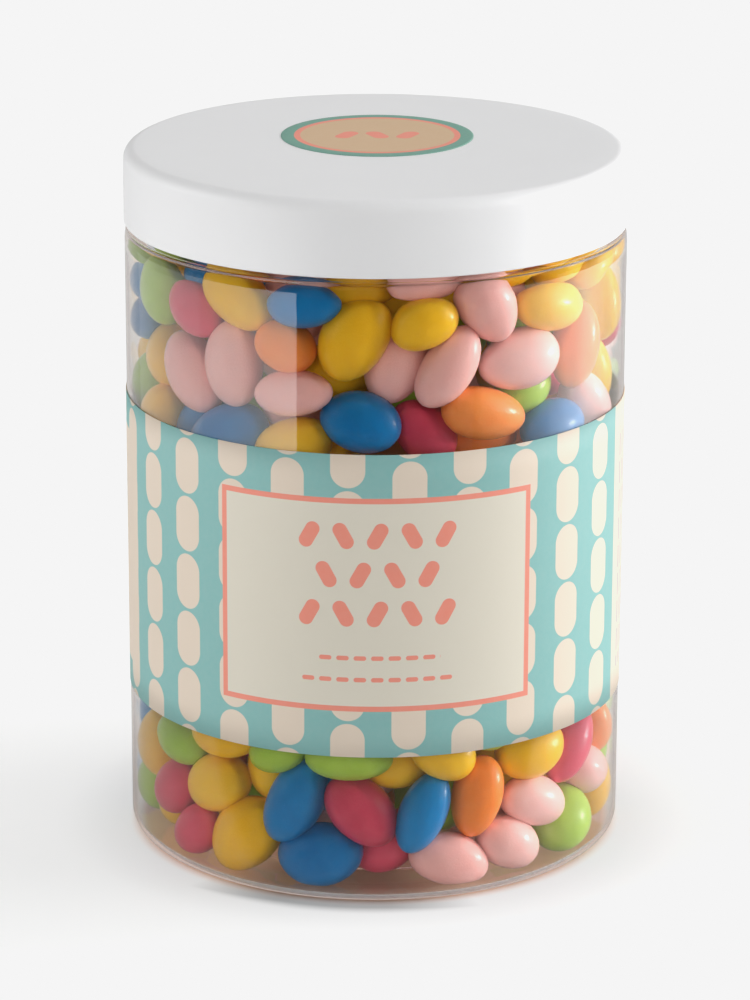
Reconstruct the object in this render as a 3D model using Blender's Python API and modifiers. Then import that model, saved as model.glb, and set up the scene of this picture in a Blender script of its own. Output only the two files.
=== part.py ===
"""A jar of jelly beans: clear straight-sided jar, screw lid, paper sleeve, lid sticker and the beans inside.

The jar stands on its base ring with its axis on the Z axis and its base at Z = 0. Units are metres.
"""
import math

import bmesh
import bpy
import numpy as np

# ---- driving dimensions ----
JAR_RADIUS = 0.0460          # outside of the straight wall
JAR_WALL = 0.0006
LID_TOP_Z = 0.1304
LID_RIM_Z = 0.1167           # lower edge of the lid's skirt
LABEL_BOTTOM_Z = 0.0285
LABEL_TOP_Z = 0.0850
STICKER_RADIUS = 0.0177
STICKER_MIDDLE = (0.0002, 0.0070)   # the sticker was put on a little behind the lid's middle
GAP = 0.0003                 # clearance between neighbouring pieces

# ---- jar details ----
BASE_THICKNESS = 0.0008
BASE_CORNER = 0.0030         # outer rounding where the wall meets the base
RING_INNER_RADIUS = 0.0375   # the flat ring that the jar stands on
PUNT_RISE = 0.0014           # how far the base is pushed up inside that ring
PUNT_RADIUS = 0.0340
SHOULDER_DEPTH = 0.0014       # the shoulder is a quarter of an oval
SHOULDER_RISE = 0.0030
NECK_RADIUS = JAR_RADIUS - SHOULDER_DEPTH
NECK_WALL = 0.0012
SHOULDER_TOP_Z = LID_RIM_Z - GAP

# ---- lid details ----
LID_RADIUS = JAR_RADIUS + 0.0001
LID_EDGE = 0.0023            # rounding of the lid's top edge
LID_SKIRT_WALL = LID_RADIUS - NECK_RADIUS - 0.0004
LID_TOP_THICKNESS = 0.0015
RIM_ROUND = 0.0003

# ---- paper ----
PAPER = 0.0002
PAPER_GAP = 0.00022          # air between a paper piece and the plastic behind it

# ---- heap of beans ----
BEAN_LENGTH = 0.0160
BEAN_WIDTH = 0.0120
HEAP_RADIUS = JAR_RADIUS - JAR_WALL - 0.0004
HEAP_RING_Z = BASE_THICKNESS + GAP       # the heap's lowest level, over the standing ring
HEAP_BOTTOM_Z = HEAP_RING_Z + PUNT_RISE
HEAP_TOP_Z = 0.1262
HEAP_CORNER = 0.0060
HOLLOW_DEPTH = 0.0032        # how deep the hollows between neighbouring beans are
BUMP_SCATTER = 0.0014
SEED = 7

# ---- facets ----
TURN_STEPS = 64
HEAP_STEPS = 48
HEAP_GRID = 0.0047           # spacing of the heap's profile points
ARC_POINTS = 4


def clear_scene():
    """Empties the file of objects."""
    for obj in list(bpy.data.objects):
        bpy.data.objects.remove(obj, do_unlink=True)


def part_collection(name):
    """Makes the collection that holds the object's pieces."""
    collection = bpy.data.collections.new(name)
    bpy.context.scene.collection.children.link(collection)
    return collection


def plain_material(name, colour, roughness, transmission=0.0):
    """Makes a Principled material from a linear RGB colour."""
    material = bpy.data.materials.new(name)
    material.use_nodes = True
    shader = material.node_tree.nodes["Principled BSDF"]
    shader.inputs["Base Color"].default_value = (*colour, 1.0)
    shader.inputs["Roughness"].default_value = roughness
    shader.inputs["Metallic"].default_value = 0.0
    shader.inputs["Transmission Weight"].default_value = transmission
    material.diffuse_color = (*colour, 1.0)
    return material


def arc(centre, radius, start_deg, end_deg, points=ARC_POINTS, rise=None):
    """Points on a round or oval arc in the (radius, height) plane, both ends included."""
    angles = np.radians(np.linspace(start_deg, end_deg, points + 1))
    return [(centre[0] + radius * math.cos(a), centre[1] + (rise or radius) * math.sin(a)) for a in angles]


def turned(name, profile, material, collection, closed=False, steps=TURN_STEPS):
    """Turns a profile of (radius, height) points about Z with a Screw modifier.

    The profile runs down the outer side. An open one starts and ends on the axis; a closed one is a ring's section.
    """
    mesh = bpy.data.meshes.new(name)
    points = [(r, 0.0, z) for r, z in profile]
    edges = [(i, i + 1) for i in range(len(points) - 1)]
    if closed:
        edges.append((len(points) - 1, 0))
    mesh.from_pydata(points, edges, [])
    mesh.materials.append(material)
    obj = bpy.data.objects.new(name, mesh)
    collection.objects.link(obj)
    screw = obj.modifiers.new("Turn", "SCREW")
    screw.axis = "Z"
    screw.angle = math.tau
    screw.steps = steps
    screw.render_steps = steps
    screw.use_merge_vertices = True
    screw.merge_threshold = 0.00001
    screw.use_smooth_shade = True
    return obj


def make_jar(collection):
    """Clear jar: pushed-up base inside a standing ring, straight wall, round shoulder, plain open neck."""
    inner = JAR_RADIUS - JAR_WALL
    inner_corner = BASE_CORNER - JAR_WALL
    neck_inner = NECK_RADIUS - NECK_WALL
    bend_z = SHOULDER_TOP_Z - SHOULDER_RISE
    mouth_z = LID_TOP_Z - LID_TOP_THICKNESS - GAP
    floor_z = BASE_THICKNESS
    inside = [
        (0.0, floor_z + PUNT_RISE),
        (PUNT_RADIUS, floor_z + PUNT_RISE),
        (RING_INNER_RADIUS, floor_z),
        *arc((inner - inner_corner, floor_z + inner_corner), inner_corner, -90, 0),
        *arc((neck_inner, bend_z), inner - neck_inner, 0, 60, 3, SHOULDER_RISE),
        (neck_inner, SHOULDER_TOP_Z + JAR_WALL),
        (neck_inner, mouth_z),
    ]
    outside = [
        (NECK_RADIUS, mouth_z),
        *arc((NECK_RADIUS, bend_z), SHOULDER_DEPTH, 90, 0, rise=SHOULDER_RISE),
        *arc((JAR_RADIUS - BASE_CORNER, BASE_CORNER), BASE_CORNER, 0, -90),
        (RING_INNER_RADIUS, 0.0),
        (PUNT_RADIUS, PUNT_RISE),
        (0.0, PUNT_RISE),
    ]
    clear = plain_material("clear_plastic", (0.93, 0.93, 0.91), 0.06, transmission=1.0)
    return turned("jar", inside + outside, clear, collection)


def make_lid(collection):
    """Screw lid: flat top, rounded edge, smooth skirt, hollow over the neck."""
    skirt_inner = LID_RADIUS - LID_SKIRT_WALL
    under_top = LID_TOP_Z - LID_TOP_THICKNESS
    profile = [
        (0.0, LID_TOP_Z),
        *arc((LID_RADIUS - LID_EDGE, LID_TOP_Z - LID_EDGE), LID_EDGE, 90, 0, 5),
        (LID_RADIUS, LID_RIM_Z + RIM_ROUND),
        (LID_RADIUS - RIM_ROUND, LID_RIM_Z),
        (skirt_inner, LID_RIM_Z),
        (skirt_inner, under_top),
        (0.0, under_top),
    ]
    white = plain_material("white_plastic", (0.80, 0.80, 0.80), 0.45)
    return turned("lid", profile, white, collection)


def make_label(collection):
    """Paper sleeve wrapped once round the jar."""
    inner = JAR_RADIUS + PAPER_GAP
    outer = inner + PAPER
    profile = [(outer, LABEL_TOP_Z), (outer, LABEL_BOTTOM_Z), (inner, LABEL_BOTTOM_Z), (inner, LABEL_TOP_Z)]
    paper = plain_material("label_paper", (0.30, 0.55, 0.52), 0.55)
    return turned("label", profile, paper, collection, closed=True)


def make_lid_sticker(collection):
    """Round paper sticker on top of the lid."""
    bpy.ops.mesh.primitive_cylinder_add(
        vertices=TURN_STEPS,
        radius=STICKER_RADIUS,
        depth=PAPER,
        location=(*STICKER_MIDDLE, LID_TOP_Z + PAPER_GAP + PAPER / 2),
    )
    sticker = bpy.context.object
    sticker.name = "lid_sticker"
    sticker.data.name = "lid_sticker"
    for owner in list(sticker.users_collection):
        owner.objects.unlink(sticker)
    collection.objects.link(sticker)
    sticker.data.materials.append(plain_material("sticker_paper", (0.60, 0.48, 0.30), 0.50))
    return sticker


def bump_centres():
    """Middles of the beans that show on the heap's skin: staggered rows on the wall, rings on top and bottom."""
    centres = []
    wall_rows = round((HEAP_TOP_Z - HEAP_BOTTOM_Z) / BEAN_WIDTH)
    per_row = round(math.tau * HEAP_RADIUS / BEAN_LENGTH)
    for row in range(wall_rows):
        height = HEAP_BOTTOM_Z + (row + 0.5) * (HEAP_TOP_Z - HEAP_BOTTOM_Z) / wall_rows
        for column in range(per_row):
            turn = math.tau * (column + 0.5 * (row % 2)) / per_row
            centres.append((HEAP_RADIUS * math.cos(turn), HEAP_RADIUS * math.sin(turn), height))
    for level in (HEAP_BOTTOM_Z, HEAP_TOP_Z):
        for ring in range(int(HEAP_RADIUS / BEAN_WIDTH)):
            radius = ring * BEAN_WIDTH
            count = max(1, round(math.tau * radius / BEAN_WIDTH))
            for place in range(count):
                turn = math.tau * place / count
                centres.append((radius * math.cos(turn), radius * math.sin(turn), level))
    scatter = np.random.default_rng(SEED).normal(0.0, BUMP_SCATTER, (len(centres), 3))
    return np.array(centres) + scatter


def heap_profile():
    """Profile of the plain heap, before its hollows: it follows the jar's inside from base to neck."""
    def span(start, end):
        count = max(1, round(math.dist(start, end) / HEAP_GRID))
        steps = np.linspace(0.0, 1.0, count + 1)[:-1]
        return [(start[0] + t * (end[0] - start[0]), start[1] + t * (end[1] - start[1])) for t in steps]

    shoulder_drop = 0.0028
    neck_radius = NECK_RADIUS - NECK_WALL - 0.0004
    bend_z = SHOULDER_TOP_Z - SHOULDER_RISE - shoulder_drop
    flat = HEAP_RADIUS - HEAP_CORNER
    top_flat = neck_radius - HEAP_CORNER / 2
    return [
        *span((0.0, HEAP_TOP_Z), (top_flat, HEAP_TOP_Z)),
        *span((top_flat, HEAP_TOP_Z), (neck_radius, HEAP_TOP_Z - HEAP_CORNER / 2)),
        *span((neck_radius, HEAP_TOP_Z - HEAP_CORNER / 2), (neck_radius, bend_z + shoulder_drop)),
        *span((neck_radius, bend_z + shoulder_drop), (HEAP_RADIUS, bend_z)),
        *span((HEAP_RADIUS, bend_z), (HEAP_RADIUS, HEAP_RING_Z + HEAP_CORNER)),
        *arc((flat, HEAP_RING_Z + HEAP_CORNER), HEAP_CORNER, 0, -90, 3)[:-1],
        *span((flat, HEAP_RING_Z), (PUNT_RADIUS, HEAP_BOTTOM_Z)),
        *span((PUNT_RADIUS, HEAP_BOTTOM_Z), (0.0, HEAP_BOTTOM_Z)),
        (0.0, HEAP_BOTTOM_Z),
    ]


def make_jelly_beans(collection):
    """The heap of beans as one bumpy solid, with hollows pressed in between neighbouring beans."""
    sugar = plain_material("bean_shell", (0.85, 0.52, 0.12), 0.35)
    heap = turned("jelly_beans", heap_profile(), sugar, collection, steps=HEAP_STEPS)
    turned_mesh = bpy.data.meshes.new_from_object(heap.evaluated_get(bpy.context.evaluated_depsgraph_get()))
    heap.modifiers.clear()
    heap.data = turned_mesh
    centres = bump_centres()
    reach = BEAN_LENGTH / 2
    body = bmesh.new()
    body.from_mesh(turned_mesh)
    body.normal_update()
    for vertex in body.verts:
        away = np.linalg.norm(centres - np.array(vertex.co), axis=1).min() / reach
        vertex.co -= vertex.normal * (HOLLOW_DEPTH * min(1.0, away * away))
    body.to_mesh(turned_mesh)
    body.free()
    turned_mesh.shade_smooth()
    return heap


def main():
    clear_scene()
    collection = part_collection("jar_of_jelly_beans")
    make_jar(collection)
    make_lid(collection)
    make_label(collection)
    make_lid_sticker(collection)
    make_jelly_beans(collection)


main()
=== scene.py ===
"""Looks of a jar of jelly beans: clear jar, satin lid, printed sleeve and sticker, and every bean.

Lengths are metres unless a name ends in _mm. A bearing goes round the jar's axis in degrees: 0 faces the
front of the sleeve and a positive one lies to the right of it. A lean tips a bean's long axis away from
upright, clockwise as seen from outside.
"""
from __future__ import annotations

import logging
import math
from dataclasses import dataclass, field
from enum import Enum
from typing import NamedTuple

import bpy
import numpy as np
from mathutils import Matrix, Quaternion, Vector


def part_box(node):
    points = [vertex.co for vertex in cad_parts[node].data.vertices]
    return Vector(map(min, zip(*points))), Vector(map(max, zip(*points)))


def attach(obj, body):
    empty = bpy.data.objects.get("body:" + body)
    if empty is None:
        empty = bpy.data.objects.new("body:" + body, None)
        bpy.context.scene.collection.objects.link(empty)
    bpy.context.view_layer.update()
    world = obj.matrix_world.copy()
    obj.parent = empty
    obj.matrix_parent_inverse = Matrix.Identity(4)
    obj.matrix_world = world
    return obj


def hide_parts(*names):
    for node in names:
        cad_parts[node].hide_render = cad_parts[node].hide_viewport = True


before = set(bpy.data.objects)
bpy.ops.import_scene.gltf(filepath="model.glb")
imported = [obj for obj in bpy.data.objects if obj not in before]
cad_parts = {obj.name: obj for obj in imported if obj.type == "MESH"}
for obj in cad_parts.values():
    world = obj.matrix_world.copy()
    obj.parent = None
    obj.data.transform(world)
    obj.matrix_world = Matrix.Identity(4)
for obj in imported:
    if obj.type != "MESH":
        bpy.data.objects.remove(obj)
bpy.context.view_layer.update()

log = logging.getLogger("jar_of_jelly_beans")

MM = 0.001
BODY = "root"
TURN_STEPS = 192

Colour = tuple[float, float, float]

BARE_PAPER: Colour = (0.70, 0.66, 0.60)
PAPER_GRAIN = 0.06 * MM


# ------------------------------------------------------------------ surfaces


def arc(centre: tuple[float, float], radius: float, start: float, end: float, points: int = 10,
        rise: float | None = None) -> np.ndarray:
    """Gives points on a round or oval arc in the (radius, height) plane.

    Point i is centre + (radius * cos a, rise * sin a), with the angle a going evenly from start to end.

    Args:
        centre: The arc's centre.
        radius: Its half width.
        start: First angle in degrees.
        end: Last angle in degrees.
        points: How many points, both ends included.
        rise: Its half height, if it isn't round.

    Returns:
        An array of (radius, height) rows.
    """
    angle = np.radians(np.linspace(start, end, points))
    return np.stack([centre[0] + radius * np.cos(angle), centre[1] + (rise or radius) * np.sin(angle)], axis=1)


def quad_rows(rows: int, columns: int, closed: bool) -> np.ndarray:
    """Gives the four corners of each cell of a grid of points numbered row by row.

    Args:
        rows: Number of rows of points.
        columns: Number of points in a row.
        closed: Whether the last column joins the first.

    Returns:
        An integer array with one quad to a line.
    """
    cells = columns if closed else columns - 1
    row, column = np.meshgrid(np.arange(rows - 1), np.arange(cells), indexing="ij")
    following = (column + 1) % columns
    corners = [row * columns + column, (row + 1) * columns + column,
               (row + 1) * columns + following, row * columns + following]
    return np.stack([c.ravel() for c in corners], axis=1)


def turned(profile: np.ndarray, steps: int = TURN_STEPS) -> tuple[np.ndarray, list[list[int]]]:
    """Turns a profile about the jar's axis into a closed surface.

    Point (i, j) is profile point i turned by j whole steps round Z: (r cos t, r sin t, z). The profile runs
    down the outer side. An end that lies on the axis becomes one point, closed by a fan of triangles.

    Args:
        profile: (radius, height) rows.
        steps: Number of steps in a whole turn.

    Returns:
        The points, and the faces as lists of point numbers.
    """
    on_axis = profile[:, 0] < 1e-9
    rings = profile[~on_axis]
    turn = math.tau * np.arange(steps) / steps
    points = np.stack([rings[:, :1] * np.cos(turn), rings[:, :1] * np.sin(turn),
                       np.repeat(rings[:, 1:], steps, axis=1)], axis=2).reshape(-1, 3)
    faces = quad_rows(len(rings), steps, closed=True).tolist()
    near = np.arange(steps)
    far = (near + 1) % steps
    if on_axis[0]:
        pole = len(points)
        points = np.vstack([points, [0.0, 0.0, profile[0, 1]]])
        faces += np.stack([np.full(steps, pole), near, far], axis=1).tolist()
    if on_axis[-1]:
        pole = len(points)
        last = (len(rings) - 1) * steps
        points = np.vstack([points, [0.0, 0.0, profile[-1, 1]]])
        faces += np.stack([np.full(steps, pole), last + far, last + near], axis=1).tolist()
    return points, faces


def new_piece(name: str, points: np.ndarray, faces: list[list[int]], material: bpy.types.Material,
              node: str) -> bpy.types.Object:
    """Makes a smooth mesh piece that rides on the jar and stands for a CAD node.

    Args:
        name: Name of the piece.
        points: Its points.
        faces: Its faces as lists of point numbers.
        material: Its finish.
        node: The CAD node that it replaces.

    Returns:
        The new object, at the origin.
    """
    mesh = bpy.data.meshes.new(name)
    mesh.from_pydata(points.tolist(), [], faces)
    mesh.materials.append(material)
    mesh.shade_smooth()
    piece = bpy.data.objects.new(name, mesh)
    bpy.context.scene.collection.objects.link(piece)
    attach(piece, BODY)
    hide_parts(node)
    log.info("%s: %d points, %d faces, stands for %s", name, len(points), len(faces), node)
    return piece


# ------------------------------------------------------------------ node wiring


class Wiring:
    """Adds shader nodes to a tree and joins them up."""

    def __init__(self, tree: bpy.types.NodeTree) -> None:
        """Starts on a node tree."""
        self.tree = tree

    def add(self, kind: str, inputs: dict | None = None, **settings: object) -> bpy.types.Node:
        """Adds a node.

        Args:
            kind: Blender's name of the node type.
            inputs: A value or an output socket for each input, by name or number.
            **settings: Attributes of the node.

        Returns:
            The node.
        """
        node = self.tree.nodes.new(kind)
        for key, value in settings.items():
            setattr(node, key, value)
        for key, value in (inputs or {}).items():
            self.feed(node.inputs[key], value)
        return node

    def feed(self, socket: bpy.types.NodeSocket, value: object) -> None:
        """Gives an input a value, or joins an output socket to it."""
        if isinstance(value, bpy.types.NodeSocket):
            self.tree.links.new(value, socket)
        else:
            socket.default_value = value

    def math(self, operation: str, *values: object) -> bpy.types.NodeSocket:
        """Adds a Math node on one, two or three values and gives its result."""
        return self.add("ShaderNodeMath", dict(enumerate(values)), operation=operation).outputs[0]

    def mix(self, share: object, first: object, second: object) -> bpy.types.NodeSocket:
        """Mixes two colours: first where share is 0, second where it is 1."""
        node = self.add("ShaderNodeMix", data_type="RGBA")
        for socket, value in ((node.inputs[0], share), (node.inputs[6], first), (node.inputs[7], second)):
            self.feed(socket, value)
        return node.outputs[2]

    def split(self, vector: object) -> tuple[bpy.types.NodeSocket, ...]:
        """Splits a vector into X, Y and Z."""
        return tuple(self.add("ShaderNodeSeparateXYZ", {0: vector}).outputs)

    def group(self, tree: bpy.types.NodeTree, inputs: dict) -> bpy.types.Node:
        """Places a node group with its own values."""
        node = self.add("ShaderNodeGroup", node_tree=tree)
        for key, value in inputs.items():
            self.feed(node.inputs[key], value)
        return node


def new_group(name: str, inputs: dict[str, float], outputs: list[str]) -> tuple[Wiring, dict, bpy.types.Node]:
    """Starts a shader node group.

    Args:
        name: Name of the group.
        inputs: Name and default of each number that it takes; None marks a vector.
        outputs: Names of the numbers that it puts out.

    Returns:
        The wiring, its input sockets by name, and the output node.
    """
    tree = bpy.data.node_groups.new(name, "ShaderNodeTree")
    for key, value in inputs.items():
        kind = "NodeSocketVector" if value is None else "NodeSocketFloat"
        socket = tree.interface.new_socket(name=key, in_out="INPUT", socket_type=kind)
        if value is not None:
            socket.default_value = value
    for key in outputs:
        tree.interface.new_socket(name=key, in_out="OUTPUT", socket_type="NodeSocketFloat")
    source = tree.nodes.new("NodeGroupInput")
    return Wiring(tree), {s.name: s for s in source.outputs if s.name}, tree.nodes.new("NodeGroupOutput")


def pill_group() -> bpy.types.NodeTree:
    """Builds the group that draws one round-ended bar.

    The mask is 1 where the distance from the bar's middle line is less than its radius. The point is first
    turned by the lean, and the distance is the length of (x, max(|y| - half, 0)).

    Returns:
        The group, with inputs X, Y, Half, Radius, Lean and Edge and the output Mask.
    """
    wiring, given, result = new_group(
        "round_ended_bar", {"X": 0.0, "Y": 0.0, "Half": 1.0, "Radius": 1.0, "Lean": 0.0, "Edge": 0.06}, ["Mask"])
    cosine, sine = wiring.math("COSINE", given["Lean"]), wiring.math("SINE", given["Lean"])
    across = wiring.math("SUBTRACT", wiring.math("MULTIPLY", given["X"], cosine),
                         wiring.math("MULTIPLY", given["Y"], sine))
    along = wiring.math("ADD", wiring.math("MULTIPLY", given["X"], sine),
                        wiring.math("MULTIPLY", given["Y"], cosine))
    beyond = wiring.math("MAXIMUM", wiring.math("SUBTRACT", wiring.math("ABSOLUTE", along), given["Half"]), 0.0)
    squares = wiring.math("ADD", wiring.math("MULTIPLY", across, across), wiring.math("MULTIPLY", beyond, beyond))
    inside = wiring.math("SUBTRACT", given["Radius"], wiring.math("SQRT", squares))
    share = wiring.math("ADD", wiring.math("DIVIDE", inside, given["Edge"]), 0.5)
    clamped = wiring.add("ShaderNodeClamp", {0: share})
    wiring.feed(result.inputs["Mask"], clamped.outputs[0])
    return wiring.tree


def grain_group() -> bpy.types.NodeTree:
    """Builds the group for fine surface grain.

    Two noises are put out: a fine one for bump and gloss, and a broad one for slow changes of colour.

    Returns:
        The group, with inputs Point, Fine and Broad (noise scales) and the outputs Grain and Mottle.
    """
    wiring, given, result = new_group(
        "surface_grain", {"Point": None, "Fine": 2000.0, "Broad": 200.0}, ["Grain", "Mottle"])
    for scale, name, detail in (("Fine", "Grain", 3.0), ("Broad", "Mottle", 2.0)):
        noise = wiring.add("ShaderNodeTexNoise", {"Vector": given["Point"], "Scale": given[scale], "Detail": detail})
        wiring.feed(result.inputs[name], noise.outputs["Fac"])
    return wiring.tree


PILL = pill_group()
GRAIN = grain_group()


def new_material(name: str) -> tuple[bpy.types.Material, Wiring, bpy.types.Node]:
    """Starts a material.

    Args:
        name: Name of the material.

    Returns:
        The material, its wiring and its Principled BSDF node.
    """
    material = bpy.data.materials.new(name)
    material.use_nodes = True
    return material, Wiring(material.node_tree), material.node_tree.nodes["Principled BSDF"]


# ------------------------------------------------------------------ finishes


@dataclass(frozen=True)
class ClearPlastic:
    """Clear moulded plastic. Rays towards the lamps pass straight through, so the sweets inside are lit.

    A ray that is caught in the wall and has been mirrored more often than deep_bounces meets a soft glow.
    """

    tint: Colour = (0.97, 0.972, 0.955)
    roughness: float = 0.025
    ior: float = 1.52
    deep_glow: Colour = (0.62, 0.48, 0.43)
    deep_bounces: float = 2.5
    shadow_tint: Colour = (0.985, 0.985, 0.98)

    def material(self) -> bpy.types.Material:
        """Builds the material."""
        material, wiring, shader = new_material("clear_plastic")
        shader.inputs["Base Color"].default_value = (*self.tint, 1.0)
        shader.inputs["Roughness"].default_value = self.roughness
        shader.inputs["IOR"].default_value = self.ior
        shader.inputs["Transmission Weight"].default_value = 1.0
        path = wiring.add("ShaderNodeLightPath")
        deep = wiring.math("GREATER_THAN", path.outputs["Glossy Depth"], self.deep_bounces)
        glow = wiring.add("ShaderNodeEmission", {"Color": (*self.deep_glow, 1.0)})
        guided = wiring.add("ShaderNodeMixShader", {0: deep, 1: shader.outputs[0], 2: glow.outputs[0]})
        through = wiring.add("ShaderNodeBsdfTransparent", {"Color": (*self.shadow_tint, 1.0)})
        mixed = wiring.add("ShaderNodeMixShader", {
            0: path.outputs["Is Shadow Ray"], 1: guided.outputs[0], 2: through.outputs[0]})
        wiring.feed(material.node_tree.nodes["Material Output"].inputs["Surface"], mixed.outputs[0])
        return material


@dataclass(frozen=True)
class SatinPlastic:
    """White moulded plastic with a soft sheen and a very fine grain."""

    colour: Colour = (0.85, 0.85, 0.855)
    roughness: float = 0.42
    mottle: float = 0.975
    grain_depth: float = 0.08 * MM

    def material(self) -> bpy.types.Material:
        """Builds the material."""
        material, wiring, shader = new_material("white_plastic")
        place = wiring.add("ShaderNodeTexCoord")
        grain = wiring.group(GRAIN, {"Point": place.outputs["Object"], "Fine": 2600.0, "Broad": 60.0})
        darker = tuple(self.mottle * c for c in self.colour)
        wiring.feed(shader.inputs["Base Color"],
                    wiring.mix(grain.outputs["Mottle"], (*darker, 1.0), (*self.colour, 1.0)))
        rough = wiring.math("MULTIPLY_ADD", grain.outputs["Grain"], 0.12, self.roughness - 0.06)
        wiring.feed(shader.inputs["Roughness"], rough)
        bump = wiring.add("ShaderNodeBump", {"Strength": 0.10, "Distance": self.grain_depth,
                                             "Height": grain.outputs["Grain"]})
        wiring.feed(shader.inputs["Normal"], bump.outputs[0])
        return material


@dataclass(frozen=True)
class SugarShell:
    """Polished sugar shell of one colour, a little translucent, mottled and finely pitted.

    The polish varies with the pits, so that highlights are speckled.
    """

    name: str
    colour: Colour
    pale: Colour
    mottle: float = 0.9
    roughness: float = 0.34
    coat: float = 0.60
    coat_speckle: float = 2.4
    pit_depth: float = 0.12 * MM
    light_reach: Colour = (1.0, 0.7, 0.5)
    light_scale: float = 2.2 * MM

    def material(self) -> bpy.types.Material:
        """Builds the material."""
        material, wiring, shader = new_material("shell_" + self.name)
        place = wiring.add("ShaderNodeTexCoord")
        grain = wiring.group(GRAIN, {"Point": place.outputs["Object"], "Fine": 2400.0, "Broad": 330.0})
        tint = wiring.add("ShaderNodeAttribute", attribute_name="tint").outputs["Fac"]
        blotch = wiring.math("MULTIPLY_ADD", grain.outputs["Mottle"], self.mottle, -self.mottle / 2)
        share = wiring.add("ShaderNodeClamp", {0: wiring.math("ADD", tint, blotch)}).outputs[0]
        wiring.feed(shader.inputs["Base Color"], wiring.mix(share, (*self.colour, 1.0), (*self.pale, 1.0)))
        rough = wiring.math("MULTIPLY_ADD", grain.outputs["Grain"], 0.22, self.roughness - 0.11)
        wiring.feed(shader.inputs["Roughness"], rough)
        bump = wiring.add("ShaderNodeBump", {"Strength": 0.45, "Distance": self.pit_depth,
                                             "Height": grain.outputs["Grain"]})
        wiring.feed(shader.inputs["Normal"], bump.outputs[0])
        shader.inputs["Subsurface Weight"].default_value = 0.20
        shader.inputs["Subsurface Radius"].default_value = self.light_reach
        shader.inputs["Subsurface Scale"].default_value = self.light_scale
        shader.inputs["Specular IOR Level"].default_value = 0.15
        wiring.feed(shader.inputs["Coat Weight"],
                    wiring.math("MULTIPLY_ADD", grain.outputs["Grain"], self.coat_speckle,
                                self.coat - self.coat_speckle / 2))
        shader.inputs["Coat Roughness"].default_value = 0.13
        return material


@dataclass(frozen=True)
class PaintedHeapShade:
    """Painted warm shade for the middle of the heap: a dark stand-in, seen only through gaps, for beans deep in shade.
    """

    colour: Colour = (0.46, 0.18, 0.05)
    paler: float = 1.6

    def material(self) -> bpy.types.Material:
        """Builds the material."""
        material, wiring, shader = new_material("heap_middle_painted_shade")
        place = wiring.add("ShaderNodeTexCoord")
        grain = wiring.group(GRAIN, {"Point": place.outputs["Object"], "Fine": 900.0, "Broad": 70.0})
        paler = tuple(self.paler * c for c in self.colour)
        wiring.feed(shader.inputs["Base Color"],
                    wiring.mix(grain.outputs["Mottle"], (*self.colour, 1.0), (*paler, 1.0)))
        shader.inputs["Roughness"].default_value = 0.6
        return material


@dataclass(frozen=True)
class Inks:
    """Colours of the printed papers."""

    turquoise: Colour = (0.217, 0.474, 0.455)
    cream: Colour = (0.755, 0.640, 0.520)
    panel: Colour = (0.725, 0.680, 0.570)
    coral: Colour = (0.860, 0.270, 0.190)
    green: Colour = (0.135, 0.345, 0.270)
    beige: Colour = (0.660, 0.450, 0.265)
    grey: Colour = (0.330, 0.340, 0.420)


def paper_surface(wiring: Wiring, shader: bpy.types.Node, colour: object, roughness: float) -> None:
    """Gives a Principled shader the look of coated printed paper.

    Args:
        wiring: The material's wiring.
        shader: Its Principled BSDF.
        colour: The print, as a colour or a socket.
        roughness: Mean roughness of the coating.
    """
    place = wiring.add("ShaderNodeTexCoord")
    grain = wiring.group(GRAIN, {"Point": place.outputs["Object"], "Fine": 2600.0, "Broad": 900.0})
    worn = wiring.math("MULTIPLY_ADD", grain.outputs["Mottle"], 0.10, 0.0)
    wiring.feed(shader.inputs["Base Color"], wiring.mix(worn, colour, (*BARE_PAPER, 1.0)))
    rough = wiring.math("MULTIPLY_ADD", grain.outputs["Grain"], 0.14, roughness - 0.07)
    wiring.feed(shader.inputs["Roughness"], rough)
    bump = wiring.add("ShaderNodeBump", {"Strength": 0.22, "Distance": PAPER_GRAIN, "Height": grain.outputs["Grain"]})
    wiring.feed(shader.inputs["Normal"], bump.outputs[0])


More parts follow.
